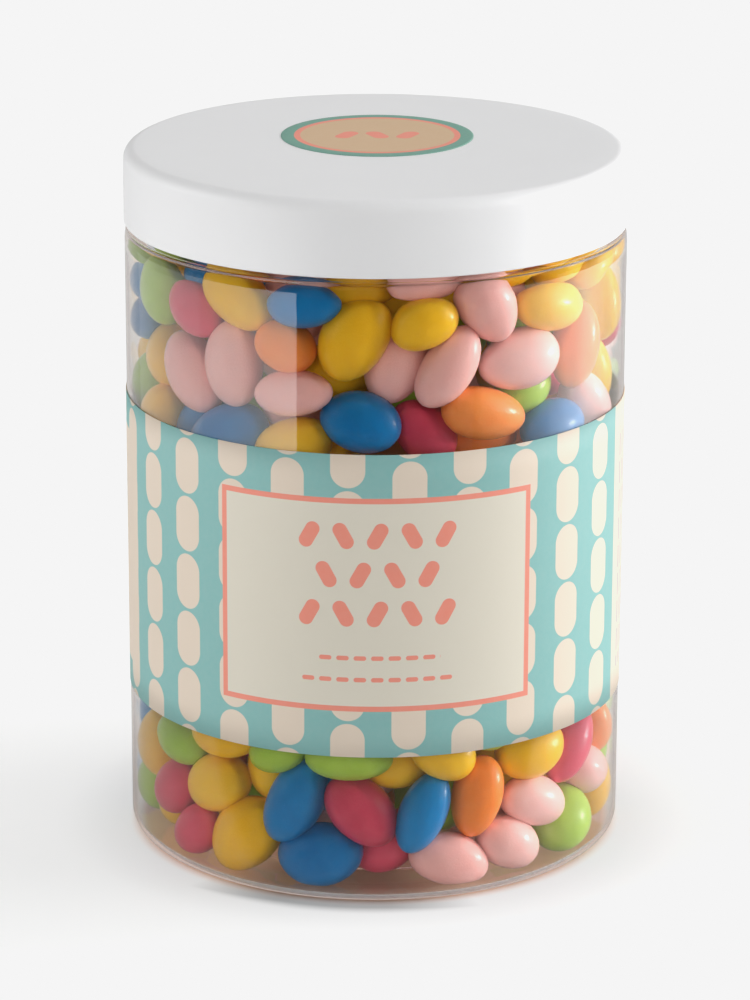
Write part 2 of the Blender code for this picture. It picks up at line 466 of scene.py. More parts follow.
@dataclass(frozen=True)
class SleevePrint:
    """Print of the sleeve: columns of cream capsules on turquoise, a front panel and a plain side panel.

    Sizes are millimetres on the flat paper. X runs round the jar from the front panel's middle, positive to
    the right, and Y goes down from the top edge.
    """

    inks: Inks
    flat_mm: tuple[float, float]
    girth_mm: float
    column_pitch: float = 13.64 / 360
    first_column: float = 7.65 / 360
    capsule_width_mm: float = 6.2
    capsule_pitch: float = 0.1925
    capsule_gap: float = 0.0095
    first_capsule: float = 0.022
    panel_edges: tuple[float, float] = (-36.1 / 360, 36.8 / 360)
    panel_rows: tuple[float, float] = (0.1415, 0.846)
    border_mm: float = 1.0
    side_panel: tuple[float, float] = (71.6 / 360, 135.0 / 360)
    left_panel: tuple[float, float] = (-132.0 / 360, -70.5 / 360)
    left_panel_rows: tuple[float, float] = (0.106, 0.903)
    print_start_mm: float = 3.1
    print_end_mm: float = 2.6
    print_margin_mm: float = 5.0
    motif_middle_mm: float = 0.65
    motif_reach_mm: float = 14.25
    bean_rows: tuple[float, float] = (0.20, 0.585)
    first_bean_row: float = 0.265
    bean_row_pitch: float = 0.128
    bean_pitch_mm: float = 6.1
    dash_rows: tuple[float, float] = (0.632, 0.775)
    first_dash_row: float = 0.668
    dash_row_pitch: float = 0.072
    dash_pitch_mm: float = 3.1
    edge_sharpness: float = 16.0
    roughness: float = 0.55

    def material(self) -> bpy.types.Material:
        """Builds the material."""
        material, wiring, shader = new_material("label_paper")
        across, down = self.flat_place(wiring)
        colour = wiring.mix(self.capsules(wiring, across, down), (*self.inks.turquoise, 1.0),
                            (*self.inks.cream, 1.0))
        side = self.between(wiring, across, *(self.girth_mm * e for e in self.side_panel))
        left = self.between(wiring, across, *(self.girth_mm * e for e in self.left_panel))
        rows = self.between(wiring, down, *(self.flat_mm[1] * e for e in self.left_panel_rows))
        side = wiring.math("MAXIMUM", side, wiring.math("MULTIPLY", left, rows))
        colour = wiring.mix(side, colour, (*self.inks.cream, 1.0))
        colour = wiring.mix(self.small_print(wiring, across, down), colour, (*self.inks.grey, 1.0))
        outer = self.panel_mask(wiring, across, down, 0.0)
        inner = self.panel_mask(wiring, across, down, self.border_mm)
        colour = wiring.mix(outer, colour, (*self.inks.coral, 1.0))
        colour = wiring.mix(inner, colour, (*self.inks.panel, 1.0))
        colour = wiring.mix(self.motif(wiring, across, down), colour, (*self.inks.coral, 1.0))
        paper_surface(wiring, shader, colour, self.roughness)
        return material

    def flat_place(self, wiring: Wiring) -> tuple[bpy.types.NodeSocket, bpy.types.NodeSocket]:
        """Gives the place on the flat paper in millimetres, as X round the jar and Y down from the top."""
        sheet = wiring.add("ShaderNodeUVMap", uv_map="flat_paper").outputs[0]
        u, v, _ = wiring.split(sheet)
        across = wiring.math("MULTIPLY_ADD", u, self.flat_mm[0], -self.girth_mm / 2)
        down = wiring.math("MULTIPLY_ADD", v, -self.flat_mm[1], self.flat_mm[1])
        return across, down

    def between(self, wiring: Wiring, place: object, low: float, high: float) -> bpy.types.NodeSocket:
        """Gives a mask that is 1 between two places, with a soft edge."""
        return self.within(wiring, place, (low + high) / 2, (high - low) / 2)

    def within(self, wiring: Wiring, place: object, middle: float, reach: object) -> bpy.types.NodeSocket:
        """Gives a mask that is 1 where a place is nearer to a middle than some reach, with a soft edge."""
        away = wiring.math("ABSOLUTE", wiring.math("SUBTRACT", place, middle))
        spare = wiring.math("SUBTRACT", reach, away)
        share = wiring.math("MULTIPLY_ADD", spare, self.edge_sharpness, 0.5)
        return wiring.add("ShaderNodeClamp", {0: share}).outputs[0]

    def panel_mask(self, wiring: Wiring, across: object, down: object, inset: float) -> bpy.types.NodeSocket:
        """Gives the mask of the front panel, drawn in by an inset on every side."""
        left, right = (self.girth_mm * e for e in self.panel_edges)
        top, bottom = (self.flat_mm[1] * e for e in self.panel_rows)
        return wiring.math("MULTIPLY", self.between(wiring, across, left + inset, right - inset),
                           self.between(wiring, down, top + inset, bottom - inset))

    def cell(self, wiring: Wiring, place: object, pitch: float,
             first: object) -> tuple[bpy.types.NodeSocket, bpy.types.NodeSocket]:
        """Finds the cell of a repeated row that a place lies in.

        Args:
            wiring: The material's wiring.
            place: The place along the row.
            pitch: The row's pitch.
            first: The middle of cell 0.

        Returns:
            The cell's number, and the place measured from the cell's middle.
        """
        steps = wiring.math("DIVIDE", wiring.math("SUBTRACT", place, first), pitch)
        number = wiring.math("ROUND", steps)
        return number, wiring.math("MULTIPLY", wiring.math("SUBTRACT", steps, number), pitch)

    def capsules(self, wiring: Wiring, across: object, down: object) -> bpy.types.NodeSocket:
        """Gives the mask of the capsule columns; every other column is half a pitch lower."""
        column, x = self.cell(wiring, across, self.girth_mm * self.column_pitch, self.girth_mm * self.first_column)
        odd = wiring.math("ABSOLUTE", wiring.math("MODULO", column, 2.0))
        pitch = self.flat_mm[1] * self.capsule_pitch
        gap = self.flat_mm[1] * self.capsule_gap
        middle = self.flat_mm[1] * self.first_capsule + (pitch - gap) / 2
        first = wiring.math("MULTIPLY_ADD", odd, pitch / 2, middle)
        _, y = self.cell(wiring, down, pitch, first)
        radius = self.capsule_width_mm / 2
        half = (pitch - gap) / 2 - radius
        return wiring.group(PILL, {"X": x, "Y": y, "Half": half, "Radius": radius}).outputs[0]

    def motif(self, wiring: Wiring, across: object, down: object) -> bpy.types.NodeSocket:
        """Gives the mask of the panel's motif: staggered rows of leaning beans over two dashed rules."""
        height = self.flat_mm[1]
        row, y = self.cell(wiring, down, self.bean_row_pitch * height, self.first_bean_row * height)
        odd = wiring.math("ABSOLUTE", wiring.math("MODULO", row, 2.0))
        shift = wiring.math("MULTIPLY", odd, self.bean_pitch_mm / 2)
        column, x = self.cell(wiring, wiring.math("SUBTRACT", across, shift), self.bean_pitch_mm, 0.5)
        turn = wiring.math("ABSOLUTE", wiring.math("MODULO", wiring.math("ADD", column, row), 2.0))
        lean = wiring.math("SUBTRACT", turn, 0.5)
        beans = wiring.group(PILL, {"X": x, "Y": y, "Half": 1.25, "Radius": 1.30, "Lean": lean}).outputs[0]
        rows = self.between(wiring, down, *(height * e for e in self.bean_rows))
        beans = wiring.math("MULTIPLY", beans, rows)
        _, y = self.cell(wiring, down, self.dash_row_pitch * height, self.first_dash_row * height)
        _, x = self.cell(wiring, across, self.dash_pitch_mm, 0.5)
        dashes = wiring.group(PILL, {"X": x, "Y": y, "Half": 0.70, "Radius": 0.42, "Lean": math.pi / 2}).outputs[0]
        rows = self.between(wiring, down, *(height * e for e in self.dash_rows))
        dashes = wiring.math("MULTIPLY", dashes, rows)
        reach = wiring.math("SUBTRACT", self.motif_reach_mm, shift)
        here = self.within(wiring, across, self.motif_middle_mm, reach)
        return wiring.math("MULTIPLY", wiring.math("MAXIMUM", beans, dashes), here)

    def small_print(self, wiring: Wiring, across: object, down: object) -> bpy.types.NodeSocket:
        """Gives the mask of the side panel's plain upright bars, which stand in for lines of small print."""
        left, right = (self.girth_mm * e for e in self.side_panel)
        start = left + self.print_start_mm
        _, x = self.cell(wiring, across, 2.3, start + 1.2)
        number, y = self.cell(wiring, down, 5.4, 3.0)
        bars = wiring.group(PILL, {"X": x, "Y": y, "Half": 1.9, "Radius": 0.28}).outputs[0]
        margin = self.print_margin_mm
        here = wiring.math("MULTIPLY", self.between(wiring, across, start, right - self.print_end_mm),
                           self.between(wiring, down, margin, self.flat_mm[1] - margin))
        return wiring.math("MULTIPLY", bars, here)


@dataclass(frozen=True)
class StickerPrint:
    """Print of the lid's sticker: a green rim, a thin coral ring and a beige middle with three coral beans."""

    inks: Inks
    radius_mm: float
    middle_mm: tuple[float, float]
    green_inner: float = 0.865
    coral_inner: float = 0.800
    roughness: float = 0.5

    def material(self) -> bpy.types.Material:
        """Builds the material."""
        material, wiring, shader = new_material("sticker_paper")
        place = wiring.add("ShaderNodeTexCoord").outputs["Object"]
        x, y = (wiring.math("MULTIPLY_ADD", way, 1000.0, -middle)
                for way, middle in zip(wiring.split(place), self.middle_mm))
        away = wiring.math("SQRT", wiring.math("ADD", wiring.math("MULTIPLY", x, x), wiring.math("MULTIPLY", y, y)))
        colour = wiring.mix(self.inside(wiring, away, self.green_inner), (*self.inks.green, 1.0),
                            (*self.inks.coral, 1.0))
        colour = wiring.mix(self.inside(wiring, away, self.coral_inner), colour, (*self.inks.beige, 1.0))
        masks = []
        for middle, lean in ((-5.6, 0.45), (0.0, -0.45), (5.6, 0.45)):
            bean = {"X": wiring.math("SUBTRACT", x, middle), "Y": y, "Half": 1.5, "Radius": 1.5, "Lean": lean}
            masks.append(wiring.group(PILL, bean).outputs[0])
        beans = wiring.math("MAXIMUM", wiring.math("MAXIMUM", masks[0], masks[1]), masks[2])
        paper_surface(wiring, shader, wiring.mix(beans, colour, (*self.inks.coral, 1.0)), self.roughness)
        return material

    def inside(self, wiring: Wiring, away: object, share: float) -> bpy.types.NodeSocket:
        """Gives the mask of the disc inside a share of the sticker's radius."""
        depth = wiring.math("SUBTRACT", share * self.radius_mm, away)
        return wiring.add("ShaderNodeClamp", {0: wiring.math("MULTIPLY_ADD", depth, 12.0, 0.5)}).outputs[0]


# ------------------------------------------------------------------ jar, lid and paper


@dataclass
class ClearJar:
    """The straight-sided jar, with its pushed-up base, a round shoulder with a fine bead, and a plain neck."""

    radius: float
    neck_top: float
    shoulder_top: float
    wall: float = 0.6 * MM
    base_thickness: float = 0.8 * MM
    base_corner: float = 3.0 * MM
    ring_inner: float = 37.5 * MM
    punt_radius: float = 33.0 * MM
    punt_rise: float = 1.4 * MM
    shoulder_depth: float = 1.4 * MM
    shoulder_rise: float = 3.0 * MM
    neck_wall: float = 2.4 * MM
    inner_rise: float = 4.6 * MM
    bead: float = 0.35 * MM
    bead_out: float = 0.85 * MM
    bead_down: float = 0.75 * MM
    steps: int = 384

    def inner_radius(self) -> float:
        """Gives the inside radius of the straight wall."""
        return self.radius - self.wall

    def neck_inner(self) -> float:
        """Gives the inside radius of the neck."""
        return self.radius - self.shoulder_depth - self.neck_wall

    def room_radius(self, height: np.ndarray) -> np.ndarray:
        """Gives the free radius inside at a height: the wall, easing into the neck over 4 mm."""
        share = np.clip((height - self.shoulder_top + 4 * MM) / (4 * MM), 0.0, 1.0)
        wide, narrow = self.inner_radius() - 0.1 * MM, self.neck_inner() - 0.1 * MM
        return wide + (narrow - wide) * share * share

    def rise(self, across: np.ndarray) -> np.ndarray:
        """Gives how far the base is pushed up at a distance from the axis, on a cosine ramp."""
        share = np.clip((across - self.punt_radius) / (self.ring_inner - self.punt_radius), 0.0, 1.0)
        return self.punt_rise * 0.5 * (1 + np.cos(np.pi * share))

    def profile(self) -> np.ndarray:
        """Gives the closed wall's profile, from the middle of the floor up the inside and down the outside."""
        inner, neck_inner = self.inner_radius(), self.neck_inner()
        corner = self.base_corner - self.wall
        across = np.concatenate([np.linspace(0.0, 0.95, 6) * self.punt_radius,
                                 np.linspace(self.punt_radius, self.ring_inner, 8)])
        floor = np.stack([across, self.rise(across)], axis=1)
        bend, rise = self.shoulder_depth, self.shoulder_rise
        inner_bend = inner - neck_inner
        lip = 0.35 * MM
        walls = np.linspace(self.base_corner + 4 * MM, self.shoulder_top - self.inner_rise - 2 * MM, 6)
        return np.vstack([
            floor + [0.0, self.base_thickness],
            arc((inner - corner, self.base_thickness + corner), corner, -90, 0),
            np.stack([np.full_like(walls, inner), walls], axis=1),
            arc((inner - inner_bend, self.shoulder_top - self.inner_rise), inner_bend, 0, 84, 14, self.inner_rise),
            [[neck_inner, self.shoulder_top + 0.5 * MM]],
            arc((neck_inner + lip, self.neck_top - lip), lip, 180, 90, 4),
            arc((self.radius - bend - lip, self.neck_top - lip), lip, 90, 0, 4),
            arc((self.radius - bend + self.bead_out, self.shoulder_top - self.bead_down), self.bead, 130, -30, 9),
            arc((self.radius - bend, self.shoulder_top - rise), bend, 36, 0, 8, rise),
            np.stack([np.full_like(walls, self.radius), walls[::-1]], axis=1),
            arc((self.radius - self.base_corner, self.base_corner), self.base_corner, 0, -90, 14),
            floor[::-1],
        ])

    def build(self) -> bpy.types.Object:
        """Makes the jar."""
        points, faces = turned(self.profile(), self.steps)
        return new_piece("clear_jar", points, faces, ClearPlastic().material(), "jar")


@dataclass
class ScrewLid:
    """The lid: flat top, rounded edge, smooth skirt, hollow underneath."""

    radius: float
    top: float
    rim: float
    edge: float = 2.3 * MM
    skirt_wall: float = 1.1 * MM
    top_thickness: float = 1.5 * MM
    rim_round: float = 0.3 * MM

    def profile(self) -> np.ndarray:
        """Gives the lid's profile, from the middle of the top down the outside and up the inside."""
        inner = self.radius - self.skirt_wall
        under = self.top - self.top_thickness
        rings = np.array([[r * self.radius, self.top] for r in (0.0, 0.2, 0.42, 0.65, 0.85)])
        fillet = 0.8 * MM
        return np.vstack([
            rings,
            arc((self.radius - self.edge, self.top - self.edge), self.edge, 90, 0, 14),
            [[self.radius, 0.5 * (self.top + self.rim)]],
            arc((self.radius - self.rim_round, self.rim + self.rim_round), self.rim_round, 0, -90, 6),
            arc((inner + self.rim_round, self.rim + self.rim_round), self.rim_round, 270, 180, 6),
            arc((inner - fillet, under - fillet), fillet, 0, 90, 5),
            [[0.5 * inner, under], [0.0, under]],
        ])

    def build(self) -> bpy.types.Object:
        """Makes the lid."""
        points, faces = turned(self.profile())
        return new_piece("screw_lid", points, faces, SatinPlastic().material(), "lid")


@dataclass
class PaperSleeve:
    """The printed sleeve, wrapped once round the jar with its end glued over its start at the back."""

    radius: float
    bottom: float
    top: float
    inks: Inks
    overlap: float = 9 * MM
    paper: float = 0.12 * MM
    columns: int = 420
    rows: int = 12

    def build(self) -> bpy.types.Object:
        """Makes the sleeve.

        Point (i, j) lies at height z_i and at the arc length s_j from the start at the back. Its radius is
        that of the jar plus a ripple of a few hundredths of a millimetre, and over the overlap it climbs by
        one paper thickness on a smooth step.
        """
        girth = math.tau * self.radius
        length = girth + self.overlap
        run = np.linspace(0.0, length, self.columns)
        height = np.linspace(self.top, self.bottom, self.rows)
        climb = np.clip((run - (girth - 6 * MM)) / (6 * MM), 0.0, 1.0)
        lift = 1.1 * self.paper * climb * climb * (3 - 2 * climb)
        turn = run / self.radius - math.pi
        ripple = 0.03 * MM * (1 + np.sin(3 * turn + 1.0) * np.cos(60 * height[:, None]))
        reach = self.radius + self.paper + lift[None, :] + ripple
        points = np.stack([reach * np.sin(turn), -reach * np.cos(turn),
                           np.repeat(height[:, None], self.columns, axis=1)], axis=2)
        faces = quad_rows(self.rows, self.columns, closed=False)
        flat = (length / MM, (self.top - self.bottom) / MM)
        ink = SleevePrint(self.inks, flat, girth / MM)
        piece = new_piece("paper_sleeve", points.reshape(-1, 3), faces.tolist(), ink.material(),
                          "label")
        sheet = np.stack(np.broadcast_arrays(run[None, :] / length,
                                             np.linspace(1.0, 0.0, self.rows)[:, None]), axis=2).reshape(-1, 2)
        layer = piece.data.uv_layers.new(name="flat_paper")
        layer.data.foreach_set("uv", sheet[faces.ravel()].ravel())
        thick = piece.modifiers.new("Paper", "SOLIDIFY")
        thick.thickness = self.paper
        thick.offset = -1.0
        return piece


@dataclass
class LidSticker:
    """The round sticker in the middle of the lid."""

    radius: float
    middle: tuple[float, float]
    lid_top: float
    inks: Inks
    paper: float = 0.12 * MM

    def build(self) -> bpy.types.Object:
        """Makes the sticker as a turned disc that touches the lid, with a soft cut edge, a little off the middle."""
        top = self.lid_top + self.paper
        rings = np.array([[r * self.radius, top] for r in (0.0, 0.3, 0.6, 0.9, 0.985)])
        profile = np.vstack([
            rings,
            [[self.radius, top - 0.35 * self.paper], [self.radius, self.lid_top], [0.0, self.lid_top]],
        ])
        points, faces = turned(profile, 128)
        points[:, :2] += self.middle
        ink = StickerPrint(self.inks, self.radius / MM, tuple(m / MM for m in self.middle))
        return new_piece("round_sticker", points, faces, ink.material(), "lid_sticker")


# ------------------------------------------------------------------ beans


class Flavour(Enum):
    """The colours that the beans come in."""

    YELLOW = "yellow"
    PINK = "pink"
    BLUE = "blue"
    GREEN = "green"
    ORANGE = "orange"
    RASPBERRY = "red_pink"


SHELLS = {
    Flavour.YELLOW: SugarShell("yellow", (0.93, 0.50, 0.008), (0.96, 0.58, 0.035)),
    Flavour.PINK: SugarShell("pink", (0.93, 0.48, 0.45), (0.96, 0.58, 0.55)),
    Flavour.BLUE: SugarShell("blue", (0.004, 0.160, 0.43), (0.010, 0.24, 0.56)),
    Flavour.GREEN: SugarShell("green", (0.32, 0.51, 0.040), (0.44, 0.64, 0.09)),
    Flavour.ORANGE: SugarShell("orange", (0.96, 0.245, 0.040), (0.98, 0.33, 0.080)),
    Flavour.RASPBERRY: SugarShell("raspberry", (0.60, 0.055, 0.105), (0.76, 0.100, 0.165)),
}


class Spot(NamedTuple):
    """Where a listed bean, one that faces a window, lies. Its depth is how far it lies in from the wall."""

    flavour: Flavour
    bearing: float
    height_mm: float
    lean: float
    length_mm: float
    width_mm: float
    depth_mm: float = 0.0


Y, P, B, G, O, R = Flavour

UPPER_WINDOW = (
    Spot(B, -85, 105.5, 80, 14, 8.6), Spot(B, -87, 98, 100, 13.5, 8.4), Spot(G, -68, 107.5, -4, 14.5, 9.7),
    Spot(B, -57, 112.5, 75, 15, 9.6, 5), Spot(R, -50, 106, -60, 13, 9.4, 0.5), Spot(Y, -36, 110, -52, 15, 10.6),
    Spot(B, -17, 110, 88, 13.8, 8.6), Spot(O, -23, 102.5, -60, 11.6, 9.4), Spot(P, -53, 94, -44, 16.4, 10.6),
    Spot(P, -39, 98, -10, 16, 10.5), Spot(P, -20, 94.5, 86, 14.8, 8.4), Spot(Y, -76, 93, -60, 16, 10, 1.5),
    Spot(Y, -5, 104.5, 27, 16.4, 11.8), Spot(B, -4, 89.5, 91, 14.8, 11), Spot(Y, -21, 85, 74, 15, 10.2),
    Spot(B, -40, 84.5, 72, 17, 11), Spot(B, -59, 83, 60, 15, 9.6, 2), Spot(Y, -69, 84, 20, 12, 8.6),
    Spot(O, -74, 88, -70, 13, 9, 3), Spot(G, -88, 85.5, 25, 14, 9.4), Spot(Y, 12, 107.5, 70, 12.6, 9.6),
    Spot(P, 5, 98, 21, 14, 11, 2.5), Spot(P, 19, 99.5, 29, 16.4, 9.4), Spot(P, 28, 109.5, -26, 15.4, 10.6),
    Spot(P, 39, 98, 85, 16.6, 11), Spot(Y, 49, 107.5, 102, 16, 9.6, 0.5), Spot(O, 61, 98, 11, 16, 9),
    Spot(Y, 84, 103, 15, 15.5, 10), Spot(Y, 86, 89, 0, 15.5, 10), Spot(R, 94, 95.5, 90, 13, 9),
    Spot(P, 68, 86, -38, 16, 10), Spot(G, 46, 91.5, 75, 12.6, 8.8, 3), Spot(O, 27, 90, 105, 16.6, 9.6),
    Spot(B, 51, 85, 88, 15, 9.6, 0.8), Spot(R, 13, 87, -50, 13.6, 10, 2), Spot(O, 33, 83.5, 95, 14, 9, 5),
    Spot(G, 11, 93, 80, 12.5, 9, 6), Spot(P, 13, 115.5, 90, 14, 8.6, 0.5), Spot(Y, -6, 113, 84, 14, 9.5, 5),
    Spot(Y, -77, 117, 70, 14, 9.5, 1), Spot(Y, 42, 117, 75, 15, 10, 1), Spot(Y, 58, 115.5, 95, 15, 10, 1),
    Spot(Y, 74, 113, 80, 15, 10, 0.5), Spot(Y, 90, 113, 70, 15, 10), Spot(O, -32, 119, 80, 15, 10, 3),
    Spot(Y, 0, 120, 95, 15, 10, 3),
)

LOWER_WINDOW = (
    Spot(Y, -78, 17.5, -5, 13.4, 9), Spot(G, -58, 23, 95, 14.5, 9.2), Spot(Y, -41, 27, 84, 15, 9.4, 0.8),
    Spot(R, -62, 13, 34, 13, 9.2, 0.6), Spot(Y, -45, 16.5, 58, 14.6, 11), Spot(Y, -32, 20.5, -5, 12.6, 9.6, 3),
    Spot(G, -25, 26.5, 72, 12, 9, 1), Spot(Y, -77, 6, 70, 12.5, 9.4, 1.2), Spot(G, -86, 7, 30, 13.5, 9.4),
    Spot(R, -51, 7, 42, 12, 8.8, 0.5), Spot(Y, -36, 7.5, 38, 17, 12.2), Spot(B, -21, 17, 18, 17, 10.4),
    Spot(B, -14, 6.2, 70, 16.4, 12), Spot(G, -7, 26, 86, 16, 9), Spot(R, -3, 15.5, -46, 15.6, 11, 0.4),
    Spot(R, 3, 7, 60, 12.6, 9.6, 3), Spot(Y, 7, 23, 90, 12.6, 9, 5), Spot(Y, 18, 25.5, 116, 12.6, 9.6, 0.5),
    Spot(B, 13, 15.5, 17, 15.8, 8.8), Spot(O, 27, 17.5, 2, 15.5, 9.4), Spot(P, 19, 7.2, 117, 15.6, 10),
    Spot(P, 36, 7.6, 114, 14.2, 9.8), Spot(P, 45, 14, -62, 15.6, 9.6, 0.5), Spot(Y, 45, 23, 74, 14.8, 11),
    Spot(R, 60, 22, 44, 16, 8.6), Spot(P, 74, 13.2, 95, 14, 9.4, 1), Spot(G, 62, 6, 30, 14, 12),
    Spot(Y, 86, 8, 20, 13.5, 9.6), Spot(G, 97, 13, 10, 14, 9.6), Spot(O, 82, 20.5, 10, 12, 8.6),
    Spot(B, 91, 25.5, 60, 13, 9), Spot(G, 98, 20, -20, 14, 9.4), Spot(B, -94, 20, 10, 14, 9.4),
    Spot(G, -86, 27, 60, 14, 9.4),
)


@dataclass
class BeanShape:
    """The bean: a barrel-like oval with a slight bend, one end thicker than the other and a few soft lumps."""

    taper: float = 0.07
    bend: float = 0.10
    lump: float = 0.014
    flatness: float = 0.95
    reach: tuple[float, float, float] = (1.236, 1.207, 1.115)

    def cage(self) -> tuple[np.ndarray, np.ndarray]:
        """Gives the cage of a bean one unit in radius.

        The cage is the shell of a 3 by 3 by 3 lattice blown up to a ball: the middles of its sides, its
        edges and its corners each lie a little outside the ball, so that the subdivided surface meets it.

        Returns:
            The 26 points, and the 24 quads.
        """
        steps = np.array([-1, 0, 1])
        lattice = np.stack(np.meshgrid(steps, steps, steps, indexing="ij"), axis=3).reshape(-1, 3)
        lattice = lattice[np.abs(lattice).sum(axis=1) > 0]
        number = {tuple(p): i for i, p in enumerate(lattice.tolist())}
        kind = np.abs(lattice).sum(axis=1) - 1
        points = lattice / np.linalg.norm(lattice, axis=1)[:, None] * np.array(self.reach)[kind][:, None]
        faces = []
        for axis in range(3):
            for side in (-1, 1):
                for a in (-1, 0):
                    for b in (-1, 0):
                        loop = [(a, b), (a + 1, b), (a + 1, b + 1), (a, b + 1)][::side]
                        faces.append([number[tuple(np.roll([side, p, q], axis).tolist())] for p, q in loop])
        return points, np.array(faces)

    def surface(self, size: np.ndarray, rng: np.random.Generator) -> np.ndarray:
        """Shapes the cage for every bean, with X along the bean.

        Y and Z grow by taper * x, Y bends by bend * (x squared - 0.3), and each point moves by a small share.

        Args:
            size: Length, width and thickness of each bean.
            rng: Source of the unevenness.

        Returns:
            An array of cage points for each bean.
        """
        cage, _ = self.cage()
        count = len(size)
        shape = cage[None] * (1 + rng.normal(0.0, self.lump, (count, len(cage), 1)))
        x = shape[:, :, :1]
        taper = rng.normal(0.0, self.taper, (count, 1, 1)) * x
        bend = rng.uniform(0.0, self.bend, (count, 1)) * (x[:, :, 0] ** 2 - 0.3)
        shape[:, :, 1:] *= 1 + taper
        shape[:, :, 1] += bend
        return shape * size[:, None, :] / 2


@dataclass
class BeanHeap:
    """All the beans: listed ones at the two windows, the rest scattered, then all pressed apart."""

    jar: ClearJar
    ceiling_z: float
    shape: BeanShape = field(default_factory=BeanShape)
    core_radius: float = 19 * MM
    core_span: tuple[float, float] = (17 * MM, 109 * MM)
    mean_size: tuple[float, float] = (15.0 * MM, 10.0 * MM)
    size_spread: float = 0.06
    row_pitch: float = 9.6 * MM
    bean_pitch: float = 12.4 * MM
    layers: tuple[float, ...] = (40.2 * MM, 30.4 * MM)
    clear_of_held: float = 8.2 * MM
    sweeps: int = 420
    push: float = 0.42
    outward_drift: float = 0.03 * MM
    hold: float = 0.25
    last_hold: float = 0.12
    radial_hold: float = 0.15
    held_weight: float = 0.2
    seed: int = 11
    shares: tuple[float, ...] = (0.27, 0.22, 0.17, 0.13, 0.11, 0.10)

    def build(self) -> list[bpy.types.Object]:
        """Makes one piece for each colour, and the core, coloured with painted shade, that they lie round."""
        rng = np.random.default_rng(self.seed)
        place, axis, size, flavour, held = self.lay_out(rng)
        place, axis = self.settle(place, axis, size, held)
        cages = self.stand(place, axis, size, rng)
        _, faces = self.shape.cage()
        tint = np.clip(rng.normal(0.45, 0.26, len(place)), 0.0, 1.0)
        # The core is coloured with painted shade for the middle of the heap.
        pieces = [self.core()]
        for index, kind in enumerate(Flavour):
            chosen = flavour == index
            points = cages[chosen].reshape(-1, 3)
            offsets = np.arange(chosen.sum())[:, None, None] * cages.shape[1]
            corners = (faces[None] + offsets).reshape(-1, 4)
            piece = new_piece(f"beans_{kind.value}", points, corners.tolist(), SHELLS[kind].material(),
                              "jelly_beans")
            layer = piece.data.attributes.new("tint", "FLOAT", "POINT")
            layer.data.foreach_set("value", np.repeat(tint[chosen], cages.shape[1]).astype(np.float32))
            fine = piece.modifiers.new("Round", "SUBSURF")
            fine.levels = 2
            fine.render_levels = 2
            pieces.append(piece)
        log.info("%d beans in all", len(place))
        return pieces

    def lay_out(self, rng: np.random.Generator) -> tuple[np.ndarray, ...]:
        """Sets the listed beans and scatters the others over staggered rows round the core.

        Args:
            rng: Source of the scatter.

        Returns:
            Middles, long axes, sizes, colour numbers, and whether each bean comes from a list.
        """
        spots = UPPER_WINDOW + LOWER_WINDOW
        bearing = np.radians([s.bearing for s in spots])
        lean = np.radians([s.lean for s in spots])
        width = np.array([s.width_mm for s in spots]) * MM
        deep = np.array([s.depth_mm for s in spots]) * MM
        reach = self.jar.inner_radius() - 0.1 * MM - width / 2 - deep
        own_place = np.stack([reach * np.sin(bearing), -reach * np.cos(bearing),
                              np.array([s.height_mm for s in spots]) * MM], axis=1)
        own_axis = self.tangent(bearing, lean)
        own_size = np.stack([np.array([s.length_mm for s in spots]) * MM, width, width * self.shape.flatness], axis=1)
        kinds = list(Flavour)
        own_flavour = np.array([kinds.index(s.flavour) for s in spots])
        place, axis = self.scatter(rng)
        nearest = np.linalg.norm(place[:, None] - own_place[None], axis=2).min(axis=1)
        free = nearest > self.clear_of_held
        place, axis = place[free], axis[free]
        count = len(place)
        size = np.array([*self.mean_size, self.mean_size[1] * self.shape.flatness])
        size = size * (1 + rng.normal(0.0, self.size_spread, (count, 1)) + rng.normal(0.0, 0.03, (count, 3)))
        flavour = rng.choice(len(kinds), count, p=self.shares)
        held = np.arange(len(spots) + count) < len(spots)
        return (np.vstack([own_place, place]), np.vstack([own_axis, axis]), np.vstack([own_size, size]),
                np.concatenate([own_flavour, flavour]), held)

    def tangent(self, bearing: np.ndarray, lean: np.ndarray) -> np.ndarray:
        """Gives unit vectors that lie flat against the wall and lean from upright."""
        return np.stack([np.cos(bearing) * np.sin(lean), np.sin(bearing) * np.sin(lean), np.cos(lean)], axis=1)

    def scatter(self, rng: np.random.Generator) -> tuple[np.ndarray, np.ndarray]:
        """Gives starting places and axes: staggered rings of beans on each layer, and discs above and below the core.

        Args:
            rng: Source of the jitter.

        Returns:
            Places and unit axes.
        """
        rows = np.arange(self.jar.base_thickness + 5.0 * MM, self.ceiling_z - 4.0 * MM, self.row_pitch)
        places, turns = [], []
        for level, height in enumerate(rows):
            radii = list(self.layers)
            if not self.core_span[0] < height < self.core_span[1]:
                radii += [20.4 * MM, 10.4 * MM, 0.1 * MM]
            for number, radius in enumerate(radii):
                count = max(1, round(math.tau * radius / self.bean_pitch))
                turn = math.tau * (np.arange(count) + 0.5 * ((level + number) % 2)) / count
                places.append(np.stack([radius * np.sin(turn), -radius * np.cos(turn),
                                        np.full(count, height)], axis=1))
                turns.append(turn)
        place = np.vstack(places)
        turn = np.concatenate(turns)
        place = place + rng.normal(0.0, 1.2 * MM, place.shape)
        axis = self.tangent(turn, rng.uniform(0.0, math.pi, len(turn)))
        inward = np.hypot(place[:, 0], place[:, 1]) < 34 * MM
        axis = axis + rng.normal(0.0, 1.0, axis.shape) * np.where(inward, 0.8, 0.16)[:, None]
        return place, axis / np.linalg.norm(axis, axis=1)[:, None]

